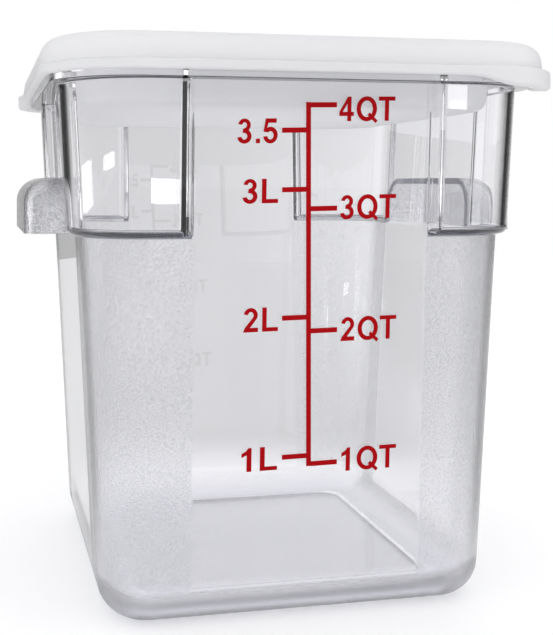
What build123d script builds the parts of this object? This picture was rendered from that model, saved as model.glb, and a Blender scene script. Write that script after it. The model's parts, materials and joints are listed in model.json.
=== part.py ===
"""Square dough proofing container with a lift-off lid, in millimetres.

The tub is one clear moulding. It tapers to a rounded base, and the middle of each side is a flat panel
that runs from the rim to the base. Above the stacking ledge the four corners stand out from the panels.
A flange runs round the mouth, and a cup-shaped handle, open underneath, stands on the left and right panels.
The lid is one softer moulding. Its raised border goes over the flange, two opposite corners have lift
tabs, and its middle is a deep recess that plugs the mouth and holds the base of the next tub in a stack.

The origin is on the ground under the middle of the tub. +Z is up, and the handles stand out along X.
"""

from build123d import *
import math
import os

os.makedirs("parts", exist_ok=True)

# Tub: outer form
tub_height = 192.5
base_width = 142.6
base_corner_radius = 17.5
base_edge_radius = 11.0
wall_draft = 2.9
wall_thickness = 2.3

# Tub: floor and foot
foot_depth = 3.0
foot_rim_width = 5.0
foot_corner_radius = 9.0
floor_thickness = 2.6

# Tub: corners that stand out above the stacking ledge
ledge_height = 135.5
corner_standout = 3.75
panel_width = 84.0
panel_step_slant = 33.0
ledge_edge_radius = 2.4

# Tub: flange round the mouth
flange_overhang = 3.7
flange_corner_radius = 31.0
flange_thickness = 4.0
flange_edge_break = 0.7

# Handles
handle_overhang = 7.7
handle_side_gap = 0.7
handle_height = 20.5
handle_wall = 2.4
handle_nose_radius = 9.5
handle_shoulder_radius = 12.0
handle_corner_radius = 3.0

# Lid: raised border that covers the flange
lid_wall = 1.8
border_overhang = 3.8
border_corner_radius = 32.5
border_height = 10.8
border_draft = 8.0
border_edge_radius = 6.0
lid_seat_width = 3.5
lid_seat_height = 2.5

# Lid: skirt round the flange, and the lift tabs at two opposite corners
flange_clearance = 0.7
skirt_wall = 3.5
skirt_drop = 1.6
skirt_height = 3.2
tab_standout = 2.9
tab_drop = 6.2
tab_depth = 13.6
tab_end_slope = 50.0
tab_edge_break = 1.0

# Lid: plug that goes into the mouth, with the recess for stacking
plug_depth = 11.8
plug_clearance = 2.0
plug_corner_radius = 27.0
plug_draft = 4.0
plug_edge_radius = 4.0
recess_edge_radius = 2.6

# One overrun for all cuts that pass through a face
overrun = 1.0

# Share of the corners' standout past which an edge counts as on their outer face
standout_share = 0.8

# Worked out from the sizes above
draft_rise = math.tan(math.radians(wall_draft))
slant_run = math.tan(math.radians(panel_step_slant))
step_draft = math.degrees(math.atan(draft_rise * math.sin(math.radians(panel_step_slant))))
flange_bottom = tub_height - flange_thickness
floor_top = foot_depth + floor_thickness
flange_width = base_width + 2 * (draft_rise * tub_height + corner_standout + flange_overhang)
handle_reach = flange_width / 2 + handle_overhang
handle_width = panel_width - 2 * handle_side_gap


def panel_half(height):
    """Half width over the flat panels of the tub at a height."""
    return base_width / 2 + draft_rise * height


def tub_form(inset, bottom, top):
    """The tub's form as a solid, with every wall drawn in by the inset, from one height to another."""
    is_outside = inset == 0
    ledge = ledge_height + inset
    ledge_half = panel_half(ledge) + corner_standout - inset
    step_foot = panel_half(ledge_height) - inset
    step_depth = flange_width / 2 - step_foot
    foot_width = panel_width + 2 * inset
    mouth_width = foot_width + 2 * step_depth * slant_run

    def on_standout(edge):
        """True for an edge that lies on the outer face of a corner that stands out."""
        reach = max(abs(edge.center().X), abs(edge.center().Y))
        return edge.geom_type == GeomType.CIRCLE or reach > step_foot + standout_share * corner_standout

    with BuildPart() as form:
        with BuildSketch(Plane.XY.offset(ledge)):
            corner_radius = base_corner_radius + draft_rise * ledge + corner_standout - inset
            RectangleRounded(2 * ledge_half, 2 * ledge_half, corner_radius)
        extrude(amount=top - ledge, taper=-wall_draft)
        with BuildSketch(Plane.XY.offset(ledge)):
            with PolarLocations(step_foot + step_depth / 2, 4):
                Trapezoid(mouth_width, step_depth, 90 - panel_step_slant, rotation=90)
            Rectangle(2 * step_foot, foot_width)
            Rectangle(foot_width, 2 * step_foot)
        extrude(amount=top - ledge, taper=step_draft, mode=Mode.SUBTRACT)
        if is_outside:
            fillet(form.edges().group_by(Axis.Z)[0].filter_by(on_standout), ledge_edge_radius)
        with BuildSketch(Plane.XY.offset(bottom)):
            lower_width = 2 * (panel_half(bottom) - inset)
            RectangleRounded(lower_width, lower_width, base_corner_radius + draft_rise * bottom - inset)
        extrude(amount=top - bottom, taper=-wall_draft)
        fillet(form.faces().sort_by(Axis.Z)[0].edges(), base_edge_radius - inset)
    return form.part


def handle_form(inset, bottom):
    """Both handles' form as one bar through the tub, with its walls drawn in by the inset."""
    top = ledge_height + handle_height - inset
    reach = handle_reach - inset
    half_width = handle_width / 2 - inset
    with BuildPart() as bar:
        with BuildSketch(Plane.XZ):
            with BuildLine():
                nose = handle_nose_radius - inset
                Line((0, bottom), (reach, bottom))
                Line((reach, bottom), (reach, top - nose))
                RadiusArc((reach, top - nose), (reach - nose, top), -nose)
                Line((reach - nose, top), (0, top))
                mirror(about=Plane.YZ)
            make_face()
        extrude(amount=half_width, both=True)
        with BuildSketch(Plane.YZ):
            with BuildLine():
                shoulder = handle_shoulder_radius - inset
                Line((0, bottom), (half_width, bottom))
                Line((half_width, bottom), (half_width, top - shoulder))
                RadiusArc((half_width, top - shoulder), (half_width - shoulder, top), -shoulder)
                Line((half_width - shoulder, top), (0, top))
                mirror(about=Plane.YZ)
            make_face()
        extrude(amount=reach, both=True, mode=Mode.INTERSECT)
    return bar.part


outer_form = tub_form(0, 0, tub_height)
inner_form = tub_form(wall_thickness, floor_top, tub_height)
handle_outside = handle_form(0, ledge_height)
handle_inside = handle_form(handle_wall, ledge_height - overrun)

# Container: one clear moulding
with BuildPart() as container:
    add(handle_outside)
    with BuildSketch(Plane.XY.offset(ledge_height)):
        RectangleRounded(2 * handle_reach, handle_width, handle_corner_radius)
    extrude(amount=handle_height, mode=Mode.INTERSECT)
    add(handle_inside, mode=Mode.SUBTRACT)
    add(outer_form)
    with BuildSketch(Plane.XY.offset(flange_bottom)):
        RectangleRounded(flange_width, flange_width, flange_corner_radius)
    extrude(amount=flange_thickness)
    flange_faces = container.faces().filter_by(Axis.Z).group_by(Axis.Z)
    chamfer(flange_faces[-1].edges(), flange_edge_break)
    add(inner_form, mode=Mode.SUBTRACT)
    with BuildSketch(Plane.XY):
        recess_width = base_width - 2 * (base_edge_radius + foot_rim_width)
        RectangleRounded(recess_width, recess_width, foot_corner_radius)
    extrude(amount=foot_depth, mode=Mode.SUBTRACT)
container.part.label = "container"
print("container", container.part.is_valid, len(container.part.solids()), container.part.volume)
export_step(container.part, "parts/container.step")

# Lid: one softer moulding
lid_top = tub_height + border_height
border_width = flange_width + 2 * border_overhang
skirt_top = tub_height - skirt_drop + skirt_height
bore_width = flange_width + 2 * flange_clearance
bore_radius = flange_corner_radius + flange_clearance
skirt_width = bore_width + 2 * skirt_wall
tab_width = skirt_width + 2 * tab_standout
tab_radius = bore_radius + skirt_wall + tab_standout
tab_corner = math.hypot(tab_width / 2 - tab_radius, tab_width / 2 - tab_radius) + tab_radius
tab_ring = 2 * (tab_corner - tab_depth)
seat_width = flange_width - 2 * lid_seat_width
seat_top = tub_height + lid_seat_height
plug_bottom = tub_height - plug_depth
plug_half = panel_half(plug_bottom) - wall_thickness - plug_clearance
recess_bottom = plug_bottom + lid_wall

# Lift tabs: a deeper, wider stretch of the skirt round the front right corner and the back left one
with BuildPart() as tabs:
    with BuildSketch(Plane.XY.offset(tub_height - tab_drop)):
        RectangleRounded(tab_width, tab_width, tab_radius)
    extrude(amount=skirt_top - tub_height + tab_drop)
    chamfer(tabs.faces().sort_by(Axis.Z)[0].edges(), tab_edge_break)
    with BuildSketch(Plane.XY.offset(tub_height - tab_drop)):
        Rectangle(2 * tab_width, tab_ring, rotation=45)
    extrude(amount=skirt_top - tub_height + tab_drop, taper=tab_end_slope, mode=Mode.SUBTRACT)

# The plug's outside, and the recess that it holds
with BuildPart() as plug:
    with BuildSketch(Plane.XY.offset(plug_bottom)):
        RectangleRounded(2 * plug_half, 2 * plug_half, plug_corner_radius)
    extrude(amount=lid_top - plug_bottom, taper=-plug_draft)
    fillet(plug.faces().sort_by(Axis.Z)[0].edges(), plug_edge_radius)

with BuildPart() as recess:
    with BuildSketch(Plane.XY.offset(recess_bottom)):
        recess_half = plug_half - lid_wall
        RectangleRounded(2 * recess_half, 2 * recess_half, plug_corner_radius - lid_wall)
    extrude(amount=lid_top + overrun - recess_bottom, taper=-plug_draft)
    chamfer(recess.faces().sort_by(Axis.Z)[0].edges(), plug_edge_radius - lid_wall)

# The space under the border that the flange goes into
with BuildPart() as channel:
    with BuildSketch(Plane.XY.offset(seat_top)):
        channel_width = border_width - 2 * lid_wall
        RectangleRounded(channel_width, channel_width, border_corner_radius - lid_wall)
    extrude(amount=lid_top - lid_wall - seat_top, taper=border_draft)
    chamfer(channel.faces().sort_by(Axis.Z)[-1].edges(), border_edge_radius - lid_wall)
    with BuildSketch(Plane.XY.offset(tub_height)):
        RectangleRounded(seat_width, seat_width, flange_corner_radius - lid_seat_width)
    extrude(amount=lid_seat_height)
    with BuildSketch(Plane.XY.offset(tub_height)):
        RectangleRounded(bore_width, bore_width, bore_radius)
    extrude(amount=-tab_drop - overrun)

with BuildPart() as lid:
    with BuildSketch(Plane.XY.offset(tub_height)):
        RectangleRounded(border_width, border_width, border_corner_radius)
    extrude(amount=border_height, taper=border_draft)
    fillet(lid.faces().sort_by(Axis.Z)[-1].edges(), border_edge_radius)
    with BuildSketch(Plane.XY.offset(tub_height - skirt_drop)):
        RectangleRounded(skirt_width, skirt_width, bore_radius + skirt_wall)
    extrude(amount=skirt_height)
    add(tabs.part)
    add(channel.part, mode=Mode.SUBTRACT)
    add(plug.part)
    add(recess.part, mode=Mode.SUBTRACT)
    mouth_edges = lid.faces().filter_by(Axis.Z).sort_by(Axis.Z)[-1].inner_wires().edges()
    fillet(mouth_edges, recess_edge_radius)
lid.part.label = "lid"
print("lid", lid.part.is_valid, len(lid.part.solids()), lid.part.volume)
export_step(lid.part, "parts/lid.step")
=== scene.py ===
"""Dresses the dough proofing container: a clear moulded tub with printed graduations, and its white lid.

Everything is in metres in the part's own frame: the origin on the ground under the middle of the tub, +Z up,
the handles along X and the graduations on the side that faces -Y.
"""

import json
import logging
import math
from dataclasses import dataclass, field
from enum import Enum

import bpy
import numpy as np
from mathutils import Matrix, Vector

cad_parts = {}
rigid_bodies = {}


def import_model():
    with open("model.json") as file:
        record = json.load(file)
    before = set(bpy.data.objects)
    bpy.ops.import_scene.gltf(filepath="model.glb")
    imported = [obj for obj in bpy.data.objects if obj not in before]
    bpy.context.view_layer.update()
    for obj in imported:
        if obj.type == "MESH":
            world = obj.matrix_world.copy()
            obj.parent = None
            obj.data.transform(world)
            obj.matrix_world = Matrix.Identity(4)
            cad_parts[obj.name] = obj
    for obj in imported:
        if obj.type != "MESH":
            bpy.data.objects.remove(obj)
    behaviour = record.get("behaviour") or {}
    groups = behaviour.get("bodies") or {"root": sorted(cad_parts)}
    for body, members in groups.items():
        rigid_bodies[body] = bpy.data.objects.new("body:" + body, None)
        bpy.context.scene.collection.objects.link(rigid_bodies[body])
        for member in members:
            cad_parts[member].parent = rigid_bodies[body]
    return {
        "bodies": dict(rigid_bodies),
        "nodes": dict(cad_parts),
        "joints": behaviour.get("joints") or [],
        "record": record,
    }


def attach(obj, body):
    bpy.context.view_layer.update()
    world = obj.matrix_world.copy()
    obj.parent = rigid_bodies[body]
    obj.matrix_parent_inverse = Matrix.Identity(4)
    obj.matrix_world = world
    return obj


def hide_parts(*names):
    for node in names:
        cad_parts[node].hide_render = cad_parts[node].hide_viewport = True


MM = 0.001
WHITE = "#FFFFFF"
# A length under this counts as none, so that nothing is divided by zero
NO_LENGTH = 1e-9

Point = tuple[float, float, float]
Tree = bpy.types.NodeTree
Socket = bpy.types.NodeSocket

log = logging.getLogger("dough_container")


class Body(Enum):
    """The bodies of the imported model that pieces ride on."""

    TUB = "tub"
    COVER = "cover"


class Slot(Enum):
    """The record's material slots."""

    CLEAR = "clear_plastic"
    WHITE = "lid_plastic"


# Colours and nodes


def linear(code: str) -> tuple[float, float, float, float]:
    """Turns an sRGB hex colour into the linear colour that shaders work in.

    Args:
        code: six hex digits, with or without a leading #.

    Returns:
        Red, green, blue and an alpha of 1, all linear.
    """
    shares = (int(code.lstrip("#")[k : k + 2], 16) / 255 for k in (0, 2, 4))
    return (*(s / 12.92 if s <= 0.04045 else ((s + 0.055) / 1.055) ** 2.4 for s in shares), 1.0)


def add_node(tree: Tree, kind: str, inputs: dict | None = None, **settings: object) -> bpy.types.Node:
    """Adds a node, sets its options, and sets or links its inputs.

    Args:
        tree: the node tree that the node goes into.
        kind: the node's type name, without the word ShaderNode.
        inputs: by the input's name or number, a value, a socket to link from, or a node whose first output
            is linked.
        settings: options by attribute name.

    Returns:
        The new node.
    """
    node = tree.nodes.new("ShaderNode" + kind)
    for name, value in settings.items():
        setattr(node, name, value)
    for name, value in (inputs or {}).items():
        if isinstance(value, bpy.types.Node):
            value = value.outputs[0]
        if isinstance(value, Socket):
            tree.links.new(value, node.inputs[name])
        else:
            node.inputs[name].default_value = value
    return node


def new_tree(name: str) -> tuple[bpy.types.Material, Tree]:
    """Makes an empty node material.

    Args:
        name: the material's name.

    Returns:
        The material and its node tree.
    """
    material = bpy.data.materials.new(name)
    material.use_nodes = True
    material.node_tree.nodes.clear()
    return material, material.node_tree


def folded_place(tree: Tree) -> tuple[Socket, Socket, Socket]:
    """Gives the place on the object folded onto one quarter, for a pattern that all four quarters share.

    Args:
        tree: the material's node tree.

    Returns:
        The lengths of x and y without their signs, and z.
    """
    part = add_node(tree, "SeparateXYZ", {0: add_node(tree, "TexCoord").outputs["Object"]})
    x, y = (add_node(tree, "Math", {0: part.outputs[k]}, operation="ABSOLUTE").outputs[0] for k in (0, 1))
    return x, y, part.outputs[2]


# Finishes


class Grain(Enum):
    """Where a moulded surface is spark-eroded."""

    NOWHERE = 0
    CORNERS = 1
    EVERYWHERE = 2


@dataclass(frozen=True)
class MouldedPolycarbonate:
    """Clear polycarbonate, injection moulded in a polished mould whose corners are spark-eroded.

    The polished parts are as smooth as glass, and a little duller than it where they have been handled.
    The eroded texture is a fine even grain, and turns what is behind it to a soft blur with grey specks. It
    is drawn coarser than a real one, which would be too fine for the render to show.

    Sizes that begin with window bound the polished panels. Those that begin with root say where a handle's
    walls stand on the side walls, where the inside is given a darker tint as painted shade.
    """

    name: str
    grain: Grain = Grain.NOWHERE
    tint: str = "#F8F8FA"
    speck: str = "#D6D7DE"
    shade: str = "#F8F8F9"
    ior: float = 1.585
    polished_roughness: float = 0.012
    grain_roughness: float = 0.2
    # A darker, bluer tint painted on the lowest part of the tub as shade
    base_painted_shade: str = "#C4C5D2"
    base_height: float = 12.0 * MM
    grain_size: float = 0.62 * MM
    grain_height: float = 0.12 * MM
    pit_detail: float = 2.0
    pit_fineness: float = 0.6
    speck_start: float = 0.42
    speck_full: float = 0.68
    window_half: float = 41.5 * MM
    window_bottom: float = 13.0 * MM
    window_blend: float = 0.6 * MM
    ledge_height: float = 135.5 * MM
    ledge_gap: float = 0.3 * MM
    root_painted_shade: str | None = None
    root_half: float = 41.3 * MM
    root_top: float = 156.0 * MM
    root_radius: float = 12.0 * MM
    root_width: float = 2.4 * MM
    root_nearest: float = 70.0 * MM
    root_farthest: float = 77.5 * MM
    root_blend: float = 0.15 * MM

    def material(self) -> bpy.types.Material:
        """Builds the material.

        Returns:
            A refracting material with the grain that is asked for. Lamps shine through it.
        """
        material, tree = new_tree(self.name)
        shader = add_node(tree, "BsdfPrincipled", {"IOR": self.ior, "Transmission Weight": 1.0})
        if self.grain is Grain.NOWHERE:
            shader.inputs["Base Color"].default_value = linear(self.tint)
            shader.inputs["Roughness"].default_value = self.polished_roughness
            # Painted shade: a darker tint where the handles' walls stand on the side walls
            if self.root_painted_shade:
                tints = {0: self.handle_root_shade_mask(tree), 6: linear(self.tint), 7: linear(self.root_painted_shade)}
                colour = add_node(tree, "Mix", tints, data_type="RGBA")
                tree.links.new(colour.outputs[2], shader.inputs["Base Color"])
        else:
            self.add_grain(tree, shader)
        lamp_way = add_node(tree, "BsdfTransparent", {"Color": linear(self.shade)})
        shadow = add_node(tree, "LightPath").outputs["Is Shadow Ray"]
        surface = add_node(tree, "MixShader", {0: shadow, 1: shader, 2: lamp_way})
        add_node(tree, "OutputMaterial", {"Surface": surface})
        return material

    def add_grain(self, tree: Tree, shader: bpy.types.Node) -> None:
        """Gives a shader the eroded grain: fine pits that blur, and a grey speck in each deep pit.

        Args:
            tree: the material's node tree.
            shader: the surface's shader.
        """
        place = add_node(tree, "TexCoord").outputs["Object"]
        noise = {
            "Vector": place,
            "Scale": 1 / self.grain_size,
            "Detail": self.pit_detail,
            "Roughness": self.pit_fineness,
        }
        pits = add_node(tree, "TexNoise", noise)
        deep = {"Value": pits, "From Min": self.speck_start, "From Max": self.speck_full}
        specks = add_node(tree, "MapRange", deep)
        if self.grain is Grain.CORNERS:
            share = self.corners(tree)
            pits = add_node(tree, "Math", {0: pits, 1: share}, operation="MULTIPLY")
            specks = add_node(tree, "Math", {0: specks, 1: share}, operation="MULTIPLY")
            ends = {"Value": share, "To Min": self.polished_roughness, "To Max": self.grain_roughness}
            blur = add_node(tree, "MapRange", ends)
            tree.links.new(blur.outputs[0], shader.inputs["Roughness"])
        else:
            shader.inputs["Roughness"].default_value = self.grain_roughness
        # Painted shade: the tint turns darker and bluer towards the ground, from base_height down
        height = add_node(tree, "SeparateXYZ", {0: place}).outputs[2]
        low = add_node(tree, "MapRange", {"Value": height, "From Min": self.base_height, "From Max": 0.0})
        tints = {0: low, 6: linear(self.tint), 7: linear(self.base_painted_shade)}
        ground = add_node(tree, "Mix", tints, data_type="RGBA").outputs[2]
        colour = add_node(tree, "Mix", {0: specks, 6: ground, 7: linear(self.speck)}, data_type="RGBA")
        bump = add_node(tree, "Bump", {"Height": pits, "Distance": self.grain_height})
        tree.links.new(colour.outputs[2], shader.inputs["Base Color"])
        tree.links.new(bump.outputs[0], shader.inputs["Normal"])

    def handle_root_shade_mask(self, tree: Tree) -> Socket:
        """Works out where a handle's walls stand on the tub's side walls, for the painted shade there.

        Plastic seen edge-on there looks dark, and a darker tint on the inside paints that shade in. Seen from
        the side, a handle is a rectangle with rounded shoulders. The distance from its outline is the length
        of the part of (y - flat, z - straight) that is over zero, less the shoulders' radius, where flat and
        straight are its half width and height less that radius. Its walls are where that lies between zero
        and minus the walls' thickness.

        Args:
            tree: the material's node tree.

        Returns:
            A socket that is 1 on the walls' roots and 0 elsewhere.
        """
        x, y, z = folded_place(tree)
        over = []
        for value, edge in ((y, self.root_half), (z, self.root_top)):
            past = add_node(tree, "Math", {0: value, 1: edge - self.root_radius}, operation="SUBTRACT")
            over.append(add_node(tree, "Math", {0: past, 1: 0.0}, operation="MAXIMUM"))
        corner = add_node(tree, "CombineXYZ", dict(enumerate(over)))
        reach = add_node(tree, "VectorMath", {0: corner}, operation="LENGTH").outputs["Value"]
        soft, inner = self.root_blend, self.root_radius - self.root_width
        ramps = (
            (reach, self.root_radius + soft, self.root_radius - soft),
            (reach, inner - soft, inner + soft),
            (x, self.root_nearest - soft, self.root_nearest + soft),
            (x, self.root_farthest + soft, self.root_farthest - soft),
            (z, self.ledge_height, self.ledge_height + soft),
        )
        share = 1.0
        for value, start, end in ramps:
            ramp = add_node(tree, "MapRange", {"Value": value, "From Min": start, "From Max": end})
            share = add_node(tree, "Math", {0: share, 1: ramp}, operation="MULTIPLY")
        return share.outputs[0]

    def corners(self, tree: Tree) -> Socket:
        """Works out where the corners and the base are.

        That is where both distances from the middle planes are over the window's half width, or under the
        window's bottom edge, and in either case under the ledge.

        Args:
            tree: the material's node tree.

        Returns:
            A socket that is 1 on the grained parts and 0 on the polished ones.
        """
        x, y, z = folded_place(tree)
        nearer = add_node(tree, "Math", {0: x, 1: y}, operation="MINIMUM")
        blend = self.window_blend
        shares = []
        for value, edge, past in ((nearer, self.window_half, blend), (z, self.window_bottom, -blend)):
            ends = {"Value": value, "From Min": edge - past, "From Max": edge + past}
            shares.append(add_node(tree, "MapRange", ends, interpolation_type="SMOOTHSTEP"))
        either = add_node(tree, "Math", dict(enumerate(shares)), operation="MAXIMUM")
        under = add_node(tree, "Math", {0: z, 1: self.ledge_height - self.ledge_gap}, operation="LESS_THAN")
        return add_node(tree, "Math", {0: either, 1: under}, operation="MULTIPLY").outputs[0]


@dataclass(frozen=True)
class TranslucentPolyethylene:
    """Natural white low-density polyethylene, satin from its mould: waxy, and it lets soft light through."""

    name: str
    colour: str = "#F8F8F9"
    roughness: float = 0.38
    unevenness: float = 0.06
    ior: float = 1.51
    light_through: float = 0.6
    flow_size: float = 9.0 * MM
    flow_detail: float = 3.0
    pore_size: float = 0.7 * MM
    pore_detail: float = 1.0
    pore_height: float = 0.015 * MM

    def material(self) -> bpy.types.Material:
        """Builds the material.

        Returns:
            A satin white material that lets part of the light through.
        """
        material, tree = new_tree(self.name)
        place = add_node(tree, "TexCoord").outputs["Object"]
        flow, pores = (
            add_node(tree, "TexNoise", {"Vector": place, "Scale": 1 / size, "Detail": detail})
            for size, detail in ((self.flow_size, self.flow_detail), (self.pore_size, self.pore_detail))
        )
        low, high = self.roughness - self.unevenness, self.roughness + self.unevenness
        roughness = add_node(tree, "MapRange", {"Value": flow, "To Min": low, "To Max": high})
        bump = add_node(tree, "Bump", {"Height": pores, "Distance": self.pore_height})
        colour = linear(self.colour)
        waxy = {"Base Color": colour, "IOR": self.ior, "Roughness": roughness, "Normal": bump}
        surface = add_node(tree, "BsdfPrincipled", waxy)
        through = add_node(tree, "BsdfTranslucent", {"Color": colour})
        mix = add_node(tree, "MixShader", {0: self.light_through, 1: surface, 2: through})
        add_node(tree, "OutputMaterial", {"Surface": mix})
        return material


@dataclass(frozen=True)
class ScreenPrintInk:
    """Baked screen-printing ink: opaque deep red with a faint gloss and a slightly uneven coat."""

    name: str
    colour: str = "#98020A"
    thin_colour: str = "#A2060D"
    roughness: float = 0.42
    gloss: float = 0.05
    mottle_size: float = 1.6 * MM
    mottle_detail: float = 4.0

    def material(self) -> bpy.types.Material:
        """Builds the material.

        Returns:
            A near-matt red material whose coat varies a little.
        """
        material, tree = new_tree(self.name)
        place = add_node(tree, "TexCoord").outputs["Object"]
        noise = {"Vector": place, "Scale": 1 / self.mottle_size, "Detail": self.mottle_detail}
        tints = {0: add_node(tree, "TexNoise", noise), 6: linear(self.colour), 7: linear(self.thin_colour)}
        colour = add_node(tree, "Mix", tints, data_type="RGBA").outputs[2]
        coat = {"Base Color": colour, "Roughness": self.roughness, "Specular IOR Level": self.gloss}
        add_node(tree, "OutputMaterial", {"Surface": add_node(tree, "BsdfPrincipled", coat)})
        return material


# Meshes


def arc(start: float, end: float, steps: int) -> np.ndarray:
    """Angles from start to end in degrees, given back in radians, both ends included."""
    return np.radians(np.linspace(start, end, steps + 1))


def rounding(half: float, height: float, radius: float, start: float, end: float, steps: int) -> np.ndarray:
    """A rounding seen in section: (half + radius cos t, height + radius sin t) between two angles t.

    Args:
        half: half width at the arc's centre.
        height: height of the arc's centre.
        radius: the arc's radius.
        start: the first point's angle in degrees, from straight out and upwards.
        end: the last point's angle.
        steps: how many strips the arc has.

    Returns:
        A row of half widths and a row of heights.
    """
    turn = arc(start, end, steps)
    return np.array([half + radius * np.cos(turn), height + radius * np.sin(turn)])


def drafted(half: float, rise: np.ndarray | float, draft: float) -> np.ndarray | float:
    """Half width of a wall that leans out: it grows with the rise by the tangent of the draft in degrees."""
    return half + math.tan(math.radians(draft)) * rise


def placed(name: str, data: bpy.types.ID) -> bpy.types.Object:
    """Makes an object and puts it in the scene.

    Args:
        name: the object's name.
        data: its mesh, curve, camera or light.

    Returns:
        The new object.
    """
    piece = bpy.data.objects.new(name, data)
    bpy.context.scene.collection.objects.link(piece)
    return piece


def lofted_mesh(
    name: str, rings: np.ndarray, materials: list[bpy.types.Material], slots: np.ndarray | None = None
) -> bpy.types.Object:
    """Makes a closed mesh from rings: each ring is joined to the next, and the two end rings are filled.

    Args:
        name: the object's name.
        rings: points as (rows, columns, 3), each row going round counter-clockwise seen from above and the
            rows going from the end that faces down to the one that faces up, for an outward surface.
        materials: the object's materials.
        slots: each strip's material number, one per row less one.

    Returns:
        The new object, with its faces outward.
    """
    rows, columns = rings.shape[:2]
    index = np.arange(rows * columns).reshape(rows, columns)
    beside = np.roll(index, -1, axis=1)
    quads = np.stack([index[:-1], beside[:-1], beside[1:], index[1:]], axis=-1).reshape(-1, 4)
    ends = [index[0, ::-1].tolist(), index[-1].tolist()]
    mesh = bpy.data.meshes.new(name)
    mesh.from_pydata(rings.reshape(-1, 3).tolist(), [], quads.tolist() + ends)
    for material in materials:
        mesh.materials.append(material)
    if slots is not None:
        numbers = np.concatenate([np.repeat(slots, columns), [slots[0], slots[-1]]]).astype(np.int32)
        mesh.polygons.foreach_set("material_index", numbers)
    mesh.update()
    return placed(name, mesh)


def finish_shading(piece: bpy.types.Object, crease: float = 40.0) -> None:
    """Shades a piece smooth, and keeps its sharp edges crisp.

    Args:
        piece: the piece.
        crease: the angle in degrees past which an edge is sharp.
    """
    piece.data.shade_smooth()
    piece.data.set_sharp_from_angle(angle=math.radians(crease))
    piece.modifiers.new("even_normals", "WEIGHTED_NORMAL").keep_sharp = True


def joined(piece: bpy.types.Object, tool: bpy.types.Object, operation: str) -> bpy.types.Object:
    """Unites a piece with another, or cuts the other from it, and deletes the other.

    Args:
        piece: the piece that is changed.
        tool: the piece that it is united with or cut by.
        operation: UNION or DIFFERENCE.

    Returns:
        The changed piece.
    """
    cut = piece.modifiers.new("join", "BOOLEAN")
    cut.operation, cut.object, cut.solver = operation, tool, "EXACT"
    cut.material_mode = "TRANSFER"
    result = bpy.data.meshes.new_from_object(piece.evaluated_get(bpy.context.evaluated_depsgraph_get()))
    piece.modifiers.remove(cut)
    piece.data = result
    bpy.data.objects.remove(tool)
    return piece


@dataclass
class RoundedSquare:
    """The square outline with rounded corners that both mouldings follow.

    A ring has, for each of the four sides, columns along the side and then round the corner. Columns bunch
    up at the two steps beside the side's flat panel, where the corner stands out from the panel.
    """

    panel_half: float = 42.0 * MM
    step_slant: float = 33.0
    step_depth: float = 3.75 * MM
    step_rounding: float = 1.0 * MM
    corner_steps: int = 22
    panel_steps: int = 10
    shoulder_steps: int = 4
    rounding_steps: int = 4

    def step_profile(self) -> tuple[np.ndarray, np.ndarray]:
        """The step beside a panel, seen from above: flat, rounded inner corner, slant, rounded outer corner.

        Each rounding is an arc that touches both lines: it begins a tangent length before their meeting
        point, and turns by the slope's angle.

        Returns:
            Distances along the side from the step's foot, and the share of the standout at each.
        """
        slope = math.radians(90 - self.step_slant)
        run = self.step_depth * math.tan(math.radians(self.step_slant))
        tangent = self.step_rounding * math.tan(slope / 2)
        turn = np.linspace(0, slope, self.rounding_steps + 1)
        along_foot = -tangent + self.step_rounding * np.sin(turn)
        out_foot = self.step_rounding * (1 - np.cos(turn))
        along = np.concatenate([along_foot, (run - along_foot)[::-1]])
        out = np.concatenate([out_foot, (self.step_depth - out_foot)[::-1]])
        return along, out / self.step_depth

    def side(self, edge: float, corner: float) -> tuple[np.ndarray, np.ndarray]:
        """Columns along one side.

        Args:
            edge: half the panel's width.
            corner: half the distance between the corner arcs' centres.

        Returns:
            The places along the side, and each one's share of the standout.
        """
        along, share = self.step_profile()
        steps = edge + along
        middle = np.linspace(-1, 1, self.panel_steps + 1)[1:-1] * steps[0]
        gap = np.linspace(0, 1, self.shoulder_steps + 1)[1:]
        right = np.concatenate([steps, steps[-1] + gap * (corner - steps[-1])])
        right_share = np.concatenate([share, np.ones(self.shoulder_steps)])
        places = np.concatenate([-right[::-1], middle, right])
        return places, np.concatenate([right_share[::-1], np.zeros(len(middle)), right_share])

    def rings(
        self,
        half: np.ndarray,
        height: np.ndarray,
        corner: float,
        standout: np.ndarray | float = 0.0,
        inset: float = 0.0,
        panel_height: np.ndarray | None = None,
        panel_half: np.ndarray | None = None,
    ) -> np.ndarray:
        """Points of all rings. A ring is the rounded square, moved outwards by the standout past the steps.

        Args:
            half: half width at the corners' foot line, by row.
            height: height outside the panels, by row.
            corner: half the distance between the corner arcs' centres.
            standout: how far the corners stand out, by row or the same for all.
            inset: how far the surface is drawn in, which widens the panels by as much on both sides.
            panel_height: height at the panels, by row, where it differs.
            panel_half: half width at the panels, by row, where it differs.

        Returns:
            Points as (rows, columns, 3), counter-clockwise seen from above.
        """
        low = height if panel_height is None else panel_height
        flat = half if panel_half is None else panel_half
        places, shares = self.side(self.panel_half + inset, corner)
        out = flat[:, None] + shares * (half - flat + standout)[:, None]
        rise = low[:, None] + shares * (height - low)[:, None]
        side = np.stack([np.broadcast_to(places, out.shape), -out, rise], axis=-1)
        turn = arc(-90, 0, self.corner_steps)[1:-1]
        radius = (half + standout - corner)[:, None]
        across, along = corner + radius * np.cos(turn), -corner + radius * np.sin(turn)
        rounded = np.stack([across, along, np.broadcast_to(height[:, None], across.shape)], axis=-1)
        x, y, z = np.moveaxis(np.concatenate([side, rounded], axis=1), -1, 0)
        turned = [(x, y), (-y, x), (-x, -y), (y, -x)]
        return np.concatenate([np.stack([a, b, z], axis=-1) for a, b in turned], axis=1)


# The tub


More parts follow.
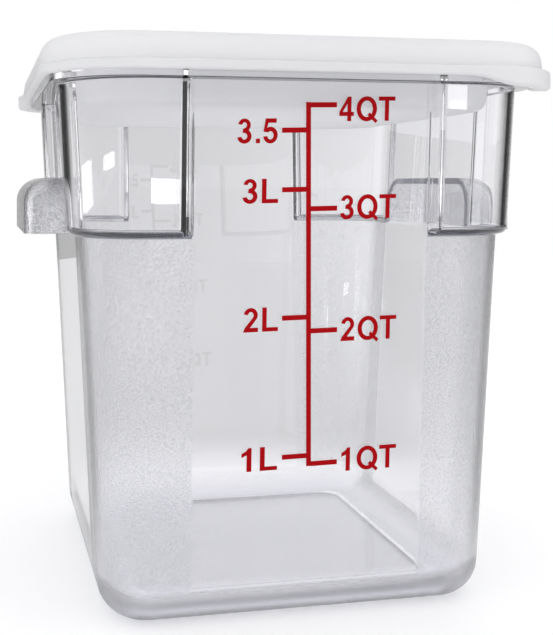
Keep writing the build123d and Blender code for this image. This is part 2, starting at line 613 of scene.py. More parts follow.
@dataclass
class Tub:
    """The clear moulding: foot, drafted walls, standing-out corners, flange and two cup handles.

    The rows of the straight walls are spaced evenly, and keep clear of the ledge and the lip by the lengths
    whose names begin with clear.
    """

    outline: RoundedSquare = field(default_factory=RoundedSquare)
    height: float = 192.5 * MM
    base_half: float = 71.3 * MM
    base_corner_radius: float = 17.5 * MM
    base_edge_radius: float = 14.0 * MM
    draft: float = 2.9
    wall: float = 2.3 * MM
    foot_half: float = 55.3 * MM
    foot_corner: float = 46.3 * MM
    foot_depth: float = 3.0 * MM
    floor_top: float = 5.6 * MM
    ledge_height: float = 135.5 * MM
    standout: float = 3.75 * MM
    ledge_edge_radius: float = 2.4 * MM
    inner_ledge_radius: float = 0.9 * MM
    small_rounding: float = 0.6 * MM
    wall_rows: int = 12
    collar_rows: int = 7
    mouth_rows: int = 6
    clear_under_ledge: float = 6.0 * MM
    clear_over_ledge: float = 5.0 * MM
    clear_under_lip: float = 2.0 * MM
    clear_over_inner_ledge: float = 3.0 * MM
    clear_under_inner_ledge: float = 4.0 * MM
    flange_half: float = 88.5 * MM
    flange_corner: float = 57.5 * MM
    flange_thickness: float = 4.0 * MM
    flange_edge_radius: float = 0.9 * MM
    looks_down: float = -0.35
    looks_straight_down: float = -0.97
    ledge_zone: float = 4.0 * MM
    handle_reach: float = 96.2 * MM
    handle_half_width: float = 41.3 * MM
    handle_height: float = 20.5 * MM
    handle_wall: float = 2.4 * MM
    handle_nose_radius: float = 9.5 * MM
    handle_shoulder_radius: float = 12.0 * MM
    handle_corner_radius: float = 7.0 * MM
    handle_top_radius: float = 9.0 * MM
    handle_corner_share: float = 0.8
    handle_root: float = 77.5 * MM
    handle_overrun: float = 2.0 * MM

    @property
    def corner(self) -> float:
        """Half the distance between the corner arcs' centres."""
        return self.base_half - self.base_corner_radius

    @property
    def flange_bottom(self) -> float:
        """The height of the flange's underside."""
        return self.height - self.flange_thickness

    def half_at(self, height: np.ndarray) -> np.ndarray:
        """Half width over the panels: it grows with height by the draft's tangent."""
        return drafted(self.base_half, height, self.draft)

    def wall_rings(
        self,
        height: np.ndarray,
        standout: np.ndarray | float,
        inset: float,
        panel_height: np.ndarray | None = None,
    ) -> np.ndarray:
        """Rings on the wall, drawn in by the inset.

        Args:
            height: heights outside the panels.
            standout: how far the corners stand out.
            inset: how far the surface is drawn in from the outside.
            panel_height: heights at the panels, where they differ.

        Returns:
            The rings' points.
        """
        low = height if panel_height is None else panel_height
        half, panel_half = self.half_at(height) - inset, self.half_at(low) - inset
        return self.outline.rings(half, height, self.corner, standout, inset, low, panel_half)

    def foot_rings(self) -> np.ndarray:
        """The recess inside the foot ring, from its ceiling down to the ground, with both edges rounded.

        Returns:
            The rings' points.
        """
        edge = self.small_rounding
        upper = rounding(self.foot_half - edge, self.foot_depth - edge, edge, 90, 0, 3)
        lower = rounding(self.foot_half + edge, edge, edge, 180, 270, 3)
        return self.outline.rings(*np.hstack([upper, lower]), self.foot_corner)

    def base_rings(self, inset: float, bottom: float, steps: int) -> np.ndarray:
        """The rounding between the floor or the ground and the wall.

        It is an arc that touches both: its centre is one radius above the bottom, and one radius from the
        drafted wall, and it turns from straight down to the wall's own normal.

        Args:
            inset: how far the surface is drawn in.
            bottom: the height of the flat part.
            steps: how many strips the arc has.

        Returns:
            The rings' points, from the bottom up.
        """
        radius = self.base_edge_radius - inset
        wall_half = self.half_at(bottom + radius) - inset / math.cos(math.radians(self.draft))
        centre = wall_half - radius / math.cos(math.radians(self.draft))
        turn = rounding(centre, bottom + radius, radius, -90, -self.draft, steps)
        return self.outline.rings(*turn, self.corner)

    def ledge_rings(self, inset: float, edge_radius: float, foot_radius: float) -> np.ndarray:
        """The stacking ledge: a small hollow rounding, the flat underside, then the rounded outer edge.

        At the panels there is no ledge, and the same rows run straight up at an even spacing.

        Args:
            inset: how far the surface is drawn in.
            edge_radius: the rounding of the ledge's outer edge.
            foot_radius: the rounding where the ledge meets the lower wall.

        Returns:
            The rings' points, from below the ledge up.
        """
        ledge = self.ledge_height + inset
        foot = rounding(foot_radius, ledge - foot_radius, foot_radius, 180, 90, 3)
        edge = rounding(self.standout - edge_radius, ledge + edge_radius, edge_radius, -90, 0, 7)
        out, up = np.hstack([foot, edge])
        return self.wall_rings(up, out, inset, panel_height=np.linspace(up[0], up[-1], len(up)))

    def flange_rings(self) -> np.ndarray:
        """The flange, from its underside round its edge to the mouth's rounded lip.

        Returns:
            The rings' points.
        """
        high = self.flange_edge_radius
        low = high / 2
        under = rounding(self.flange_half - low, self.flange_bottom + low, low, -90, 0, 3)
        over = rounding(self.flange_half - high, self.height - high, high, 0, 90, 5)
        return self.outline.rings(*np.hstack([under, over]), self.flange_corner)

    def shell(self, materials: list[bpy.types.Material]) -> bpy.types.Object:
        """The tub without its handles, as one closed surface from the foot's recess round to the floor.

        Args:
            materials: the outer surface's material, the inner one's, and those that paint shade on the
                undersides.

        Returns:
            The shell.
        """
        small, standout, under = self.small_rounding, self.standout, self.flange_bottom
        base = self.base_rings(0, 0, 10)
        up = np.linspace(base[-1, 0, 2], self.ledge_height - self.clear_under_ledge, self.wall_rows)[1:]
        wall = self.wall_rings(up, 0, 0)
        ledge = self.ledge_rings(0, self.ledge_edge_radius, small)
        up = np.linspace(self.ledge_height + self.clear_over_ledge, under - small, self.collar_rows)
        collar = self.wall_rings(up, standout, 0)
        out, up = rounding(standout + small, under - small, small, 180, 90, 3)[:, 1:]
        throat = self.wall_rings(up, out, 0)
        outside = [self.foot_rings(), base, wall, ledge, collar, throat, self.flange_rings()]
        out, up = rounding(standout + small, self.height - small, small, 90, 180, 3)
        lip = self.wall_rings(up, out, self.wall)
        inner_ledge = self.ledge_rings(self.wall, self.inner_ledge_radius, self.inner_ledge_radius)[::-1]
        ledge_top, ledge_foot = inner_ledge[0, 0, 2], inner_ledge[-1, 0, 2]
        high, low = self.height - self.clear_under_lip, ledge_top + self.clear_over_inner_ledge
        mouth = self.wall_rings(np.linspace(high, low, self.mouth_rows), standout, self.wall)
        floor = self.base_rings(self.wall, self.floor_top, 9)[::-1]
        high, low = ledge_foot - self.clear_under_inner_ledge, floor[0, 0, 2]
        inner_wall = self.wall_rings(np.linspace(high, low, self.wall_rows)[:-1], 0, self.wall)
        rings = np.concatenate(outside + [lip, mouth, inner_ledge, inner_wall, floor])
        outer_rows = sum(len(part) for part in outside)
        slots = np.where(np.arange(len(rings) - 1) < outer_rows, 0, 1)
        return lofted_mesh("container_shell", rings, materials, slots)

    def paint_shade_on_undersides(self, mesh: bpy.types.Mesh, ledge: int, flange: int) -> None:
        """Paints shade on the rounded ledge edges and the flange's underside by giving them dark-tinted
        materials.

        They are outer faces that look down. Plastic seen edge-on there looks dark, and a dark tint on these
        faces paints that shade in, the same from every side.

        Args:
            mesh: the shell's mesh.
            ledge: the number of the material that paints shade on the ledge edges.
            flange: the number of the material that paints shade on the flange's underside.
        """
        count = len(mesh.polygons)
        normals, middles = np.empty(count * 3), np.empty(count * 3)
        mesh.polygons.foreach_get("normal", normals)
        mesh.polygons.foreach_get("center", middles)
        numbers = np.empty(count, dtype=np.int32)
        mesh.polygons.foreach_get("material_index", numbers)
        down, up = normals[2::3], middles[2::3]
        below = (numbers == 0) & (down < self.looks_down)
        flange_painted_shade = below & (up > self.flange_bottom - self.flange_thickness)
        beside = np.abs(up - self.ledge_height) < self.ledge_zone
        ledge_painted_shade = below & (down > self.looks_straight_down) & beside
        numbers = np.where(flange_painted_shade, flange, np.where(ledge_painted_shade, ledge, numbers))
        mesh.polygons.foreach_set("material_index", numbers.astype(np.int32))

    def handle_block(
        self, inset: float, root: float, bottom: float, material: bpy.types.Material
    ) -> bpy.types.Object:
        """One handle's form as a solid block on the +X side.

        A ring at a height is a rectangle with its two outer corners rounded. Going up, its reach follows the
        nose's arc, its width the shoulders' arc, and its corners' radius grows with the height's square.

        Args:
            inset: how far the surface is drawn in.
            root: where the block begins along X.
            bottom: the block's lowest height.
            material: its material.

        Returns:
            The block.
        """
        top = self.ledge_height + self.handle_height - inset
        nose, shoulder = self.handle_nose_radius - inset, self.handle_shoulder_radius - inset
        height = np.append(bottom, top - shoulder + shoulder * np.sin(arc(0, 90, 12)))
        over_nose = np.clip(height - (top - nose), 0, nose)
        over_shoulder = np.clip(height - (top - shoulder), 0, shoulder)
        reach = self.handle_reach - inset - nose + np.sqrt(nose**2 - over_nose**2)
        width = self.handle_half_width - inset - shoulder + np.sqrt(shoulder**2 - over_shoulder**2)
        grown = (over_shoulder / shoulder) ** 2
        growth = self.handle_top_radius - self.handle_corner_radius
        radius = self.handle_corner_radius - inset * self.handle_corner_share + growth * grown
        bend = arc(-90, 0, 10)
        x = reach[:, None] - radius[:, None] * (1 - np.cos(bend))
        y = -width[:, None] + radius[:, None] * (1 + np.sin(bend))
        start = np.full((len(height), 1), root)
        ring_x = np.concatenate([start, x, x[:, ::-1], start], axis=1)
        ring_y = np.concatenate([-width[:, None], y, -y[:, ::-1], width[:, None]], axis=1)
        ring_z = np.broadcast_to(height[:, None], ring_x.shape)
        return lofted_mesh("handle_block", np.stack([ring_x, ring_y, ring_z], axis=-1), [material])

    def handle(
        self, side: int, grained: bpy.types.Material, polished: bpy.types.Material
    ) -> bpy.types.Object:
        """A cup handle: its grained block with the polished hollow cut from below.

        The one on -X is the one on +X turned half round about Z.

        Args:
            side: 1 for +X, -1 for -X.
            grained: the outside's material.
            polished: the hollow's material.

        Returns:
            The handle.
        """
        block = self.handle_block(0, self.handle_root, self.ledge_height, grained)
        opening = self.ledge_height - self.handle_overrun
        hollow = self.handle_block(self.handle_wall, self.base_half, opening, polished)
        cup = joined(block, hollow, "DIFFERENCE")
        if side < 0:
            points = np.empty(len(cup.data.vertices) * 3)
            cup.data.vertices.foreach_get("co", points)
            turned = points.reshape(-1, 3) * (-1, -1, 1)
            cup.data.vertices.foreach_set("co", turned.ravel())
        return cup

    def build(self) -> bpy.types.Object:
        """Builds the whole moulding and dresses it.

        Returns:
            The container piece.
        """
        outer = MouldedPolycarbonate("polycarbonate_moulded_outside", Grain.CORNERS).material()
        # The inside takes painted shade at the handles' roots
        inner = MouldedPolycarbonate("polycarbonate_polished_inside", root_painted_shade="#6A6A7A").material()
        grained = MouldedPolycarbonate(
            "polycarbonate_grained_handle",
            Grain.EVERYWHERE,
            tint="#FEFEFF",
            speck="#C4C5CE",
            grain_roughness=0.07,
            grain_size=1.1 * MM,
            grain_height=0.36 * MM,
        ).material()
        # Dark tints as painted shade: slate on the ledge edges, near black on the flange's underside just
        # below the lid
        ledge_shade_material = MouldedPolycarbonate("polycarbonate_ledge_painted_shade", tint="#525264").material()
        rim = MouldedPolycarbonate("polycarbonate_flange_painted_shade", tint="#14141C").material()
        surfaces = [outer, inner, ledge_shade_material, rim]
        container = self.shell(surfaces)
        self.paint_shade_on_undersides(container.data, surfaces.index(ledge_shade_material), surfaces.index(rim))
        for side in (1, -1):
            container = joined(container, self.handle(side, grained, inner), "UNION")
        container.name = "container_moulding"
        finish_shading(container)
        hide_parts("container")
        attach(container, Body.TUB.value)
        return container


# The lid


@dataclass
class Lid:
    """The white moulding: plug and recess, raised border, skirt and two lift tabs at opposite corners."""

    outline: RoundedSquare = field(default_factory=lambda: RoundedSquare(panel_half=42.5 * MM))
    tub_height: float = 192.5 * MM
    top: float = 203.3 * MM
    wall: float = 1.8 * MM
    plug_bottom: float = 180.7 * MM
    plug_half: float = 76.15 * MM
    plug_corner: float = 49.15 * MM
    plug_draft: float = 4.0
    plug_edge_radius: float = 4.0 * MM
    mouth_radius: float = 2.6 * MM
    roof_radius: float = 1.5 * MM
    border_half: float = 92.3 * MM
    border_corner: float = 59.5 * MM
    border_draft: float = 8.0
    border_edge_radius: float = 6.0 * MM
    border_foot: tuple[float, float] = (0.4 * MM, 2.0 * MM)
    skirt_half: float = 92.7 * MM
    skirt_corner: float = 57.5 * MM
    skirt_top: float = 193.9 * MM
    skirt_bottom: float = 190.7 * MM
    bore_half: float = 89.2 * MM
    seat_half: float = 85.0 * MM
    seat_top: float = 195.0 * MM
    seat_gap: float = 0.12 * MM
    tab_standout: float = 2.8 * MM
    tab_drop: float = 3.0 * MM
    tab_start: float = 52.0 * MM
    tab_full: float = 70.0 * MM
    edge: float = 0.9 * MM
    plug_rows: int = 5
    recess_rows: int = 4

    @property
    def roof(self) -> float:
        """The height of the channel's roof."""
        return self.top - self.wall

    def tab_share(self, points: np.ndarray) -> np.ndarray:
        """How much of a tab each point has: 1 round the two corners that have one, with eased ends.

        The share eases with the nearer of the two distances from the middle planes, by 3t^2 - 2t^3.

        Args:
            points: the rings' points.

        Returns:
            The share at each point.
        """
        x, y = points[..., 0], points[..., 1]
        nearer = np.where(x * y < 0, np.minimum(np.abs(x), np.abs(y)), 0)
        t = np.clip((nearer - self.tab_start) / (self.tab_full - self.tab_start), 0, 1)
        return t * t * (3 - 2 * t)

    def with_tabs(self, rings: np.ndarray, out: np.ndarray, down: np.ndarray) -> np.ndarray:
        """Moves rings outwards and down at the tabs, by the tabs' share of each row's two lengths.

        Outwards is away from the nearest point of the square between the corner arcs' centres.

        Args:
            rings: the rings' points.
            out: how far each row moves outwards at a tab.
            down: how far each row moves down at a tab.

        Returns:
            The moved points.
        """
        share = self.tab_share(rings)
        centre = np.clip(rings[..., :2], -self.skirt_corner, self.skirt_corner)
        away = rings[..., :2] - centre
        away = away / np.maximum(np.linalg.norm(away, axis=-1, keepdims=True), NO_LENGTH)
        moved = rings.copy()
        moved[..., :2] += away * (share * out[:, None])[..., None]
        moved[..., 2] -= share * down[:, None]
        return moved

    def border_at(self, half: float, height: np.ndarray | float) -> np.ndarray | float:
        """Half width at a height of a border wall that leans in, from its half width at the tub's top."""
        return drafted(half, height - self.tub_height, -self.border_draft)

    def plug_at(self, half: float, height: np.ndarray | float) -> np.ndarray | float:
        """Half width at a height of a plug wall that leans out, from its half width at the plug's bottom."""
        return drafted(half, height - self.plug_bottom, self.plug_draft)

    def plug_rings(self) -> np.ndarray:
        """The plug's outside, from the middle of its underside up to the channel's roof.

        Returns:
            The rings' points.
        """
        radius, small = self.plug_edge_radius, self.roof_radius
        foot = rounding(self.plug_half - radius, self.plug_bottom + radius, radius, -90, 0, 6)
        up = np.linspace(foot[1, -1], self.roof - small, self.plug_rows)[1:]
        wall = np.array([self.plug_at(self.plug_half, up), up])
        bend = rounding(wall[0, -1] + small, self.roof - small, small, 180, 90, 4)[:, 1:]
        return self.outline.rings(*np.hstack([foot, wall, bend]), self.plug_corner)

    def channel_rings(self) -> np.ndarray:
        """The channel that takes the flange: roof, outer wall, seat, and the bore down to the skirt's edge.

        Returns:
            The rings' points.
        """
        radius, half = self.border_edge_radius - self.wall, self.border_half - self.wall
        centre = self.border_at(half, self.roof - radius) - radius
        bend = rounding(centre, self.roof - radius, radius, 90, 0, 5)
        low = [[self.border_at(half, self.seat_top)], [self.seat_top]]
        rounded = self.outline.rings(*np.hstack([bend, low]), self.border_corner)
        seat = self.tub_height + self.seat_gap
        halves = np.array([self.seat_half, self.seat_half, self.bore_half, self.bore_half])
        heights = np.array([self.seat_top, seat, seat, self.skirt_bottom + self.edge])
        return np.concatenate([rounded, self.outline.rings(halves, heights, self.skirt_corner)])

    def skirt_rings(self) -> np.ndarray:
        """The skirt, from the bore round its lower edge and up to the crease under the border.

        Returns:
            The rings' points.
        """
        edge, bottom, outer = self.edge, self.skirt_bottom + self.edge, self.skirt_half - self.edge
        inside = rounding(self.bore_half + edge, bottom, edge, 180, 270, 3)
        outside = rounding(outer, bottom, edge, -90, 0, 4)
        above = rounding(outer, self.skirt_top - edge, edge, 0, 90, 4)
        rings = self.outline.rings(*np.hstack([inside, outside, above]), self.skirt_corner)
        parts = [inside.shape[1], outside.shape[1], above.shape[1]]
        out = np.repeat([0, self.tab_standout, self.tab_standout], parts)
        down = np.repeat([self.tab_drop, self.tab_drop, 0], parts)
        return self.with_tabs(rings, out, down)

    def border_rings(self) -> np.ndarray:
        """The raised border: its drafted outer wall, the rounded edge, the crown and the recess's mouth.

        Returns:
            The rings' points.
        """
        foot = self.skirt_top + np.array(self.border_foot)
        radius, lean = self.border_edge_radius, self.border_draft
        height = self.top - radius
        centre = self.border_at(self.border_half, height) - radius / math.cos(math.radians(lean))
        bend = rounding(centre, height, radius, lean, 90, 9)
        wall = np.array([self.border_at(self.border_half, foot), foot])
        outer = self.outline.rings(*np.hstack([wall, bend]), self.border_corner)
        mouth = self.mouth_radius
        inner = self.plug_at(self.plug_half - self.wall, self.top) + mouth
        lip = self.outline.rings(*rounding(inner, self.top - mouth, mouth, 90, 180, 5), self.plug_corner)
        return np.concatenate([outer, lip])

    def recess_rings(self) -> np.ndarray:
        """The recess for the next tub: its wall down, the rounding, and the flat floor.

        Returns:
            The rings' points.
        """
        radius = self.plug_edge_radius - self.wall
        height = self.plug_bottom + self.wall + radius
        down = np.linspace(self.top - 2 * self.mouth_radius, height, self.recess_rows)
        wall = np.array([self.plug_at(self.plug_half - self.wall, down), down])
        bend = rounding(wall[0, -1] - radius, height, radius, 0, -90, 5)[:, 1:]
        return self.outline.rings(*np.hstack([wall, bend]), self.plug_corner)

    def build(self) -> bpy.types.Object:
        """Builds the lid as one closed surface and dresses it.

        Returns:
            The lid piece.
        """
        parts = (self.plug_rings, self.channel_rings, self.skirt_rings, self.border_rings, self.recess_rings)
        rings = np.concatenate([part() for part in parts])
        satin = TranslucentPolyethylene("polyethylene_white_satin").material()
        lid = lofted_mesh("lid_moulding", rings, [satin])
        finish_shading(lid)
        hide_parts("lid")
        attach(lid, Body.COVER.value)
        return lid


# The printed graduations


class Side(Enum):
    """Which side of the scale's stem a mark stands on."""

    LEFT = -1
    RIGHT = 1


def ellipse(centre: tuple[float, float], radii: tuple[float, float], start: float, end: float) -> np.ndarray:
    """Points on an ellipse's arc between two angles in degrees, one about every 8 degrees."""
    turn = arc(start, end, max(3, round(abs(end - start) / 8)))
    return np.stack([centre[0] + radii[0] * np.cos(turn), centre[1] + radii[1] * np.sin(turn)], axis=-1)


def outline_of(*parts: np.ndarray | list[tuple[float, float]]) -> np.ndarray:
    """Joins points and arcs to one closed outline."""
    return np.concatenate([np.asarray(part, dtype=float).reshape(-1, 2) for part in parts])


@dataclass(frozen=True)
class Letter:
    """A bold letter on a cap height of 1: the room that it takes, and its outlines, holes included."""

    room: float
    outlines: tuple[np.ndarray, ...]


LETTERS = {
    "1": Letter(
        0.72,
        (
            outline_of(
                [(0.34, 1), (0.47, 1), (0.47, 0), (0.27, 0)],
                [(0.27, 0.70), (0.06, 0.60), (0.06, 0.77), (0.24, 0.87)],
            ),
        ),
    ),
    "2": Letter(
        0.78,
        (
            outline_of(
                ellipse((0.36, 0.70), (0.31, 0.30), 172, -30),
                [(0.47, 0.35), (0.33, 0.18), (0.69, 0.18), (0.69, 0), (0.02, 0), (0.09, 0.17), (0.25, 0.36)],
                ellipse((0.36, 0.69), (0.125, 0.145), -38, 172),
            ),
        ),
    ),
    "3": Letter(
        0.78,
        (
            outline_of(
                ellipse((0.355, 0.735), (0.285, 0.265), 172, -46),
                ellipse((0.355, 0.285), (0.325, 0.295), 46, -172),
                ellipse((0.355, 0.285), (0.13, 0.13), -172, 88),
                [(0.27, 0.43), (0.29, 0.58)],
                ellipse((0.355, 0.735), (0.105, 0.115), -80, 172),
            ),
        ),
    ),
    "4": Letter(
        0.78,
        (
            outline_of(
                [(0.42, 1), (0.59, 1), (0.59, 0.38), (0.71, 0.38), (0.71, 0.21), (0.59, 0.21), (0.59, 0)],
                [(0.40, 0), (0.40, 0.21), (0.02, 0.21), (0.02, 0.38)],
            ),
            outline_of([(0.40, 0.38), (0.40, 0.71), (0.18, 0.38)]),
        ),
    ),
    "5": Letter(
        0.78,
        (
            outline_of(
                [(0.65, 1), (0.15, 1), (0.05, 0.46), (0.22, 0.44)],
                ellipse((0.37, 0.315), (0.14, 0.165), 140, -170),
                ellipse((0.37, 0.325), (0.335, 0.34), -170, 118),
                [(0.285, 0.82), (0.65, 0.82)],
            ),
        ),
    ),
    ".": Letter(0.39, (outline_of([(0.10, 0), (0.29, 0), (0.29, 0.19), (0.10, 0.19)]),)),
    "Q": Letter(
        1.09,
        (
            outline_of(ellipse((0.55, 0.5), (0.49, 0.515), -41.7, 300.9), [(0.98, -0.096), (1.08, 0.016)]),
            outline_of(ellipse((0.55, 0.5), (0.285, 0.335), -40, 291.4), [(0.59, 0.244), (0.69, 0.356)]),
        ),
    ),
    "T": Letter(
        0.86,
        (
            outline_of(
                [(0.03, 1), (0.83, 1), (0.83, 0.83), (0.53, 0.83)],
                [(0.53, 0), (0.33, 0), (0.33, 0.83), (0.03, 0.83)],
            ),
        ),
    ),
    "L": Letter(
        0.84, (outline_of([(0.09, 1), (0.29, 1), (0.29, 0.17), (0.80, 0.17), (0.80, 0), (0.09, 0)]),)
    ),
}


@dataclass(frozen=True)
class Mark:
    """One graduation: its words, its side, its height, its tick's end, and where its words go."""

    words: str
    side: Side
    height: float
    tick_end: float
    text_start: float
    text_width: float
    text_low: float


@dataclass
class Graduations:
    """The red scale printed on the front panel: a stem with ticks, quarts to its right, litres to its left.

    The stem leans a little, as the printed one does: across = stem_top_place + lean * (stem_top - height).
    """

    tub: Tub
    marks: tuple[Mark, ...] = (
        Mark("4QT", Side.RIGHT, 180.6 * MM, 7.8 * MM, 8.7 * MM, 20.3 * MM, 175.1 * MM),
        Mark("3.5", Side.LEFT, 171.9 * MM, -11.6 * MM, -27.2 * MM, 14.1 * MM, 167.2 * MM),
        Mark("3L", Side.LEFT, 151.7 * MM, -11.2 * MM, -25.1 * MM, 12.5 * MM, 146.9 * MM),
        Mark("3QT", Side.RIGHT, 145.2 * MM, 8.6 * MM, 9.7 * MM, 20.4 * MM, 141.4 * MM),
        Mark("2L", Side.LEFT, 107.6 * MM, -10.5 * MM, -24.3 * MM, 12.4 * MM, 102.9 * MM),
        Mark("2QT", Side.RIGHT, 102.9 * MM, 9.5 * MM, 10.7 * MM, 20.6 * MM, 98.9 * MM),
        Mark("1L", Side.LEFT, 58.9 * MM, -9.7 * MM, -24.2 * MM, 12.8 * MM, 54.3 * MM),
        Mark("1QT", Side.RIGHT, 56.1 * MM, 10.4 * MM, 12.0 * MM, 20.4 * MM, 52.7 * MM),
    )
    stem_top: float = 181.45 * MM
    stem_bottom: float = 55.2 * MM
    stem_top_place: float = -2.4 * MM
    lean: float = 0.0192
    stroke: float = 1.75 * MM
    cap_height: float = 8.35 * MM
    ink_gap: float = 0.02 * MM
    ink_thickness: float = 0.06 * MM

    def stem_place(self, height: float) -> float:
        """The stem's middle across the panel at a height."""
        return self.stem_top_place + self.lean * (self.stem_top - height)

    def on_panel(self, flat: np.ndarray, lift: float) -> np.ndarray:
        """Lays flat points on the front panel: across is X, up is Z, and Y follows the panel's draft."""
        return np.stack([flat[:, 0], -(self.tub.half_at(flat[:, 1]) + lift), flat[:, 1]], axis=-1)

    def plate(
        self, name: str, flat: np.ndarray, faces: list[list[int]], material: bpy.types.Material
    ) -> bpy.types.Object:
        """Makes a thin closed plate of ink from a flat mesh.

        Its rim stands on the flat mesh's open edges, which are those that no other face goes along the
        other way.

        Args:
            name: the piece's name.
            flat: points as (count, 2).
            faces: the flat mesh's faces, counter-clockwise.
            material: the ink.

        Returns:
            The plate, on the tub.
        """
        count = len(flat)
        lifts = (self.ink_gap + self.ink_thickness, self.ink_gap)
        points = np.concatenate([self.on_panel(flat, lift) for lift in lifts])
        back = [[k + count for k in reversed(face)] for face in faces]
        ways = {way for face in faces for way in zip(face, face[1:] + face[:1])}
        rim = [[b, a, a + count, b + count] for a, b in sorted(ways) if (b, a) not in ways]
        mesh = bpy.data.meshes.new(name)
        mesh.from_pydata(points.tolist(), [], faces + back + rim)
        mesh.materials.append(material)
        piece = placed(name, mesh)
        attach(piece, Body.TUB.value)
        return piece

    def bar(self, left: float, right: float, middle: float) -> tuple[np.ndarray, list[list[int]]]:
        """A tick's flat points and face: it stands square on the leaning stem.

        Args:
            left: its left end.
            right: its right end.
            middle: its height.

        Returns:
            The flat mesh's points and faces.
        """
        half = self.stroke / 2
        rise = self.lean * (right - left) / 2
        low, high = middle - half, middle + half
        points = [(left, low - rise), (right, low + rise), (right, high + rise), (left, high - rise)]
        return np.array(points), [[0, 1, 2, 3]]

    def stem(self) -> tuple[np.ndarray, list[list[int]]]:
        """The stem's flat points and face.

        Returns:
            The flat mesh's points and faces.
        """
        half, bottom, top = self.stroke / 2, self.stem_bottom, self.stem_top
        low, high = self.stem_place(bottom), self.stem_place(top)
        points = [(low - half, bottom), (low + half, bottom), (high + half, top), (high - half, top)]
        return np.array(points), [[0, 1, 2, 3]]

    def words(self, mark: Mark) -> tuple[np.ndarray, list[list[int]]]:
        """Sets a mark's words in bold letters and fits them to their width and cap height.

        The letters' outlines become one flat curve, whose filling leaves the holes open.

        Args:
            mark: the graduation.

        Returns:
            The flat mesh's points and faces.
        """
        curve = bpy.data.curves.new("words", "CURVE")
        curve.dimensions, curve.fill_mode = "2D", "FRONT"
        across = 0.0
        for sign in mark.words:
            letter = LETTERS[sign]
            for points in letter.outlines:
                spline = curve.splines.new("POLY")
                spline.points.add(len(points) - 1)
                flat = np.column_stack([points + (across, 0), np.zeros(len(points)), np.ones(len(points))])
                spline.points.foreach_set("co", flat.ravel())
                spline.use_cyclic_u = True
            across += letter.room
        holder = placed("words", curve)
        bpy.context.view_layer.update()
        mesh = bpy.data.meshes.new_from_object(holder.evaluated_get(bpy.context.evaluated_depsgraph_get()))
        bpy.data.objects.remove(holder)
        points = np.empty(len(mesh.vertices) * 3)
        mesh.vertices.foreach_get("co", points)
        flat = points.reshape(-1, 3)[:, :2]
        first, last = flat[:, 0].min(), flat[:, 0].max()
        x = (flat[:, 0] - first) / (last - first) * mark.text_width
        z = flat[:, 1] * self.cap_height + self.lean * x
        faces = [list(face.vertices) for face in mesh.polygons]
        return np.column_stack([mark.text_start + x, mark.text_low + z]), faces

    def build(self) -> list[bpy.types.Object]:
        """Builds the stem, the ticks and the words.

        Returns:
            The printed pieces.
        """
        ink = ScreenPrintInk("screen_print_red").material()
        pieces = [self.plate("scale_stem", *self.stem(), ink)]
        for mark in self.marks:
            label = mark.words.replace(".", "_")
            side = self.stem_place(mark.height) + mark.side.value * self.stroke / 2
            left, right = sorted((side, mark.tick_end))
            pieces.append(self.plate(f"tick_{label}", *self.bar(left, right, mark.height), ink))
            pieces.append(self.plate(f"words_{label}", *self.words(mark), ink))
        return pieces


# The studio


@dataclass(frozen=True)
class Lamp:
    """A soft rectangular lamp: its name, place, width and height, power in watts, and what it faces."""

    name: str
    place: Point
    width: float
    height: float
    power: float
    aim: Point = (0.0, 0.0, 0.1)


